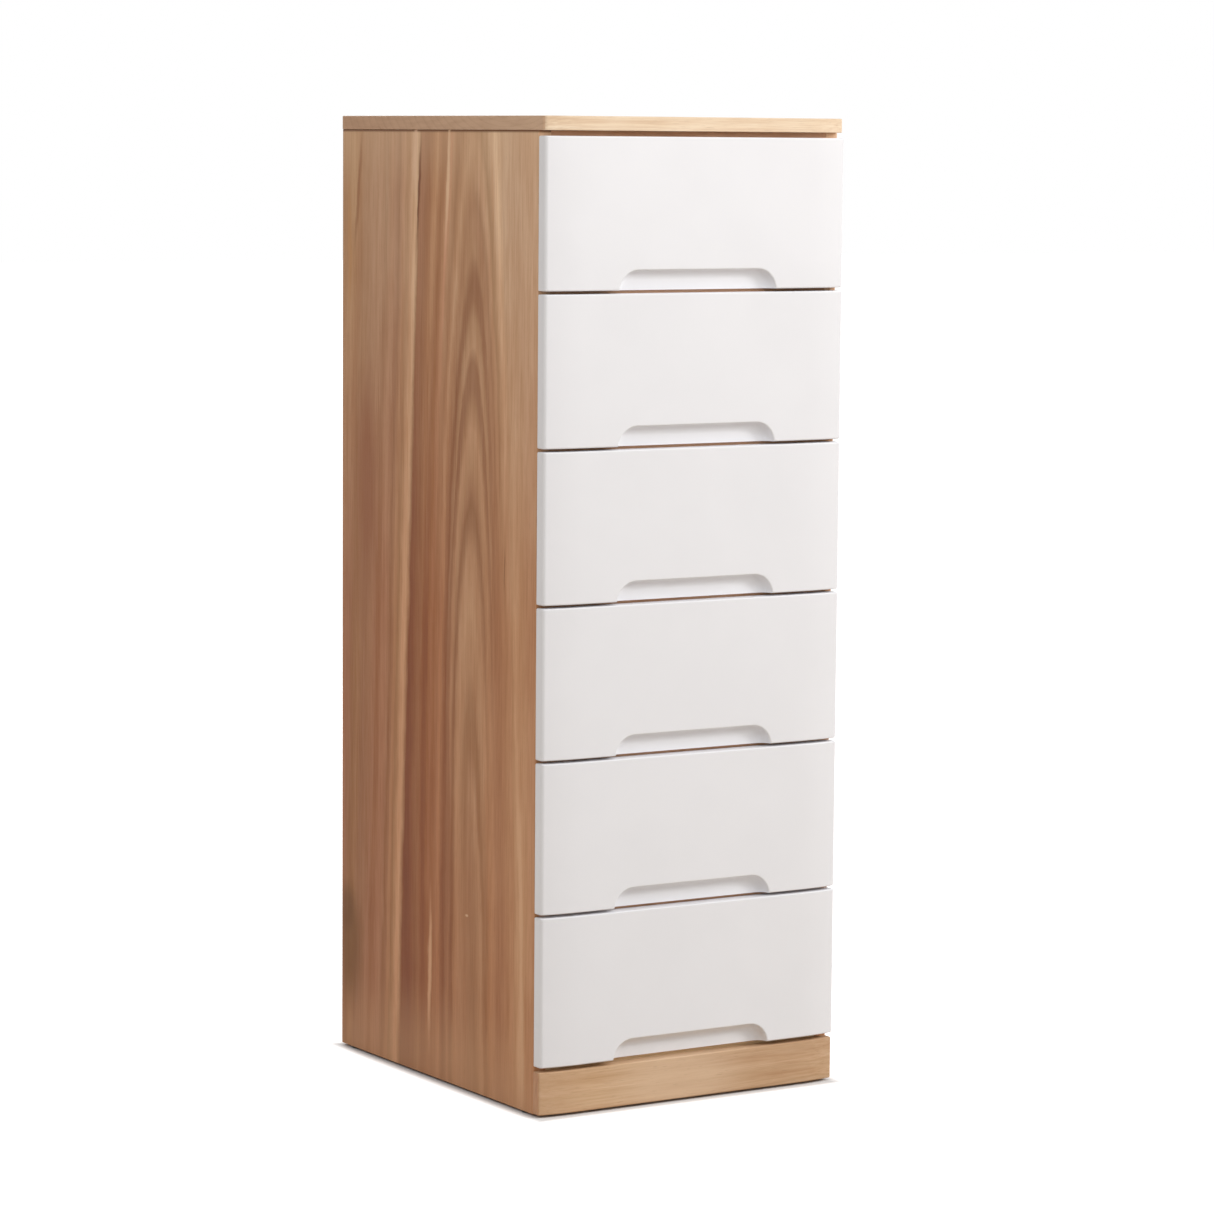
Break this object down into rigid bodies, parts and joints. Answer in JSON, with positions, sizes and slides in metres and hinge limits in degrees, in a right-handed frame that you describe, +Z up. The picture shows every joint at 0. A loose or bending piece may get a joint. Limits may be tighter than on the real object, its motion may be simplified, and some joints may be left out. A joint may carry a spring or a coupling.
{
  "type": "tall chest of drawers",
  "caption": "Tall narrow wooden chest of drawers: plain timber carcass and plinth, stacked white overlay fronts with finger recesses, telescopic runners.",
  "frame": {"origin": "middle of the floor rectangle under the whole chest", "axes": "+Z up, -Y is the front and the way the drawers open, +X to the right seen from the front"},
  "size_m": [0.4, 0.469, 1.12],
  "materials": {
    "natural_wood": "satin clear lacquer on edge-glued light brown timber",
    "inner_wood": "planed pale timber, unstained",
    "plywood": "thin pale plywood",
    "beech": "fluted hardwood dowel",
    "white_lacquer": "satin white lacquer on fibreboard",
    "zinc_steel": "bright zinc-plated rolled steel",
    "screw_steel": "zinc-plated countersunk screws",
    "nylon": "dark nylon glide"
  },
  "bodies": {
    "carcass": {"left_side_panel": "natural_wood", "right_side_panel": "natural_wood", "top_panel": "natural_wood", "plinth_front": "natural_wood", "bottom_panel": "inner_wood", "plinth_rear": "inner_wood", "top_front_rail": "inner_wood", "top_rear_rail": "inner_wood", "drawer_dividers": "inner_wood", "corner_blocks": "inner_wood", "back_panel": "plywood", "foot_glides": "nylon", "carcass_dowels": "beech", "back_screws": "screw_steel", "cabinet_runner_screws": "screw_steel", "left_cabinet_runners": "zinc_steel", "right_cabinet_runners": "zinc_steel"},
    "drawer_1": {"drawer_1_front": "white_lacquer", "drawer_1_box_sides": "inner_wood", "drawer_1_box_ends": "inner_wood", "drawer_1_box_bottom": "plywood", "drawer_1_inner_runners": "zinc_steel", "drawer_1_screws": "screw_steel"},
    "drawer_1_middle": {"drawer_1_middle_runners": "zinc_steel"},
    "drawer_2": {"drawer_2_front": "white_lacquer", "drawer_2_box_sides": "inner_wood", "drawer_2_box_ends": "inner_wood", "drawer_2_box_bottom": "plywood", "drawer_2_inner_runners": "zinc_steel", "drawer_2_screws": "screw_steel"},
    "drawer_2_middle": {"drawer_2_middle_runners": "zinc_steel"},
    "drawer_3": {"drawer_3_front": "white_lacquer", "drawer_3_box_sides": "inner_wood", "drawer_3_box_ends": "inner_wood", "drawer_3_box_bottom": "plywood", "drawer_3_inner_runners": "zinc_steel", "drawer_3_screws": "screw_steel"},
    "drawer_3_middle": {"drawer_3_middle_runners": "zinc_steel"},
    "drawer_4": {"drawer_4_front": "white_lacquer", "drawer_4_box_sides": "inner_wood", "drawer_4_box_ends": "inner_wood", "drawer_4_box_bottom": "plywood", "drawer_4_inner_runners": "zinc_steel", "drawer_4_screws": "screw_steel"},
    "drawer_4_middle": {"drawer_4_middle_runners": "zinc_steel"},
    "drawer_5": {"drawer_5_front": "white_lacquer", "drawer_5_box_sides": "inner_wood", "drawer_5_box_ends": "inner_wood", "drawer_5_box_bottom": "plywood", "drawer_5_inner_runners": "zinc_steel", "drawer_5_screws": "screw_steel"},
    "drawer_5_middle": {"drawer_5_middle_runners": "zinc_steel"},
    "drawer_6": {"drawer_6_front": "white_lacquer", "drawer_6_box_sides": "inner_wood", "drawer_6_box_ends": "inner_wood", "drawer_6_box_bottom": "plywood", "drawer_6_inner_runners": "zinc_steel", "drawer_6_screws": "screw_steel"},
    "drawer_6_middle": {"drawer_6_middle_runners": "zinc_steel"}
  },
  "joints": [
    {"name": "drawer_1_slide", "type": "slide", "parent": "carcass", "child": "drawer_1", "axis": [0, -1, 0], "range_m": [0, 0.385]},
    {"name": "drawer_1_middle_slide", "type": "slide", "parent": "carcass", "child": "drawer_1_middle", "axis": [0, -1, 0], "range_m": [0, 0.1925]},
    {"name": "drawer_2_slide", "type": "slide", "parent": "carcass", "child": "drawer_2", "axis": [0, -1, 0], "range_m": [0, 0.385]},
    {"name": "drawer_2_middle_slide", "type": "slide", "parent": "carcass", "child": "drawer_2_middle", "axis": [0, -1, 0], "range_m": [0, 0.1925]},
    {"name": "drawer_3_slide", "type": "slide", "parent": "carcass", "child": "drawer_3", "axis": [0, -1, 0], "range_m": [0, 0.385]},
    {"name": "drawer_3_middle_slide", "type": "slide", "parent": "carcass", "child": "drawer_3_middle", "axis": [0, -1, 0], "range_m": [0, 0.1925]},
    {"name": "drawer_4_slide", "type": "slide", "parent": "carcass", "child": "drawer_4", "axis": [0, -1, 0], "range_m": [0, 0.385]},
    {"name": "drawer_4_middle_slide", "type": "slide", "parent": "carcass", "child": "drawer_4_middle", "axis": [0, -1, 0], "range_m": [0, 0.1925]},
    {"name": "drawer_5_slide", "type": "slide", "parent": "carcass", "child": "drawer_5", "axis": [0, -1, 0], "range_m": [0, 0.385]},
    {"name": "drawer_5_middle_slide", "type": "slide", "parent": "carcass", "child": "drawer_5_middle", "axis": [0, -1, 0], "range_m": [0, 0.1925]},
    {"name": "drawer_6_slide", "type": "slide", "parent": "carcass", "child": "drawer_6", "axis": [0, -1, 0], "range_m": [0, 0.385]},
    {"name": "drawer_6_middle_slide", "type": "slide", "parent": "carcass", "child": "drawer_6_middle", "axis": [0, -1, 0], "range_m": [0, 0.1925]}
  ],
  "couplings": [
    {"joint": "drawer_1_middle_slide", "follows": "drawer_1_slide", "ratio": 0.5},
    {"joint": "drawer_2_middle_slide", "follows": "drawer_2_slide", "ratio": 0.5},
    {"joint": "drawer_3_middle_slide", "follows": "drawer_3_slide", "ratio": 0.5},
    {"joint": "drawer_4_middle_slide", "follows": "drawer_4_slide", "ratio": 0.5},
    {"joint": "drawer_5_middle_slide", "follows": "drawer_5_slide", "ratio": 0.5},
    {"joint": "drawer_6_middle_slide", "follows": "drawer_6_slide", "ratio": 0.5}
  ]
}
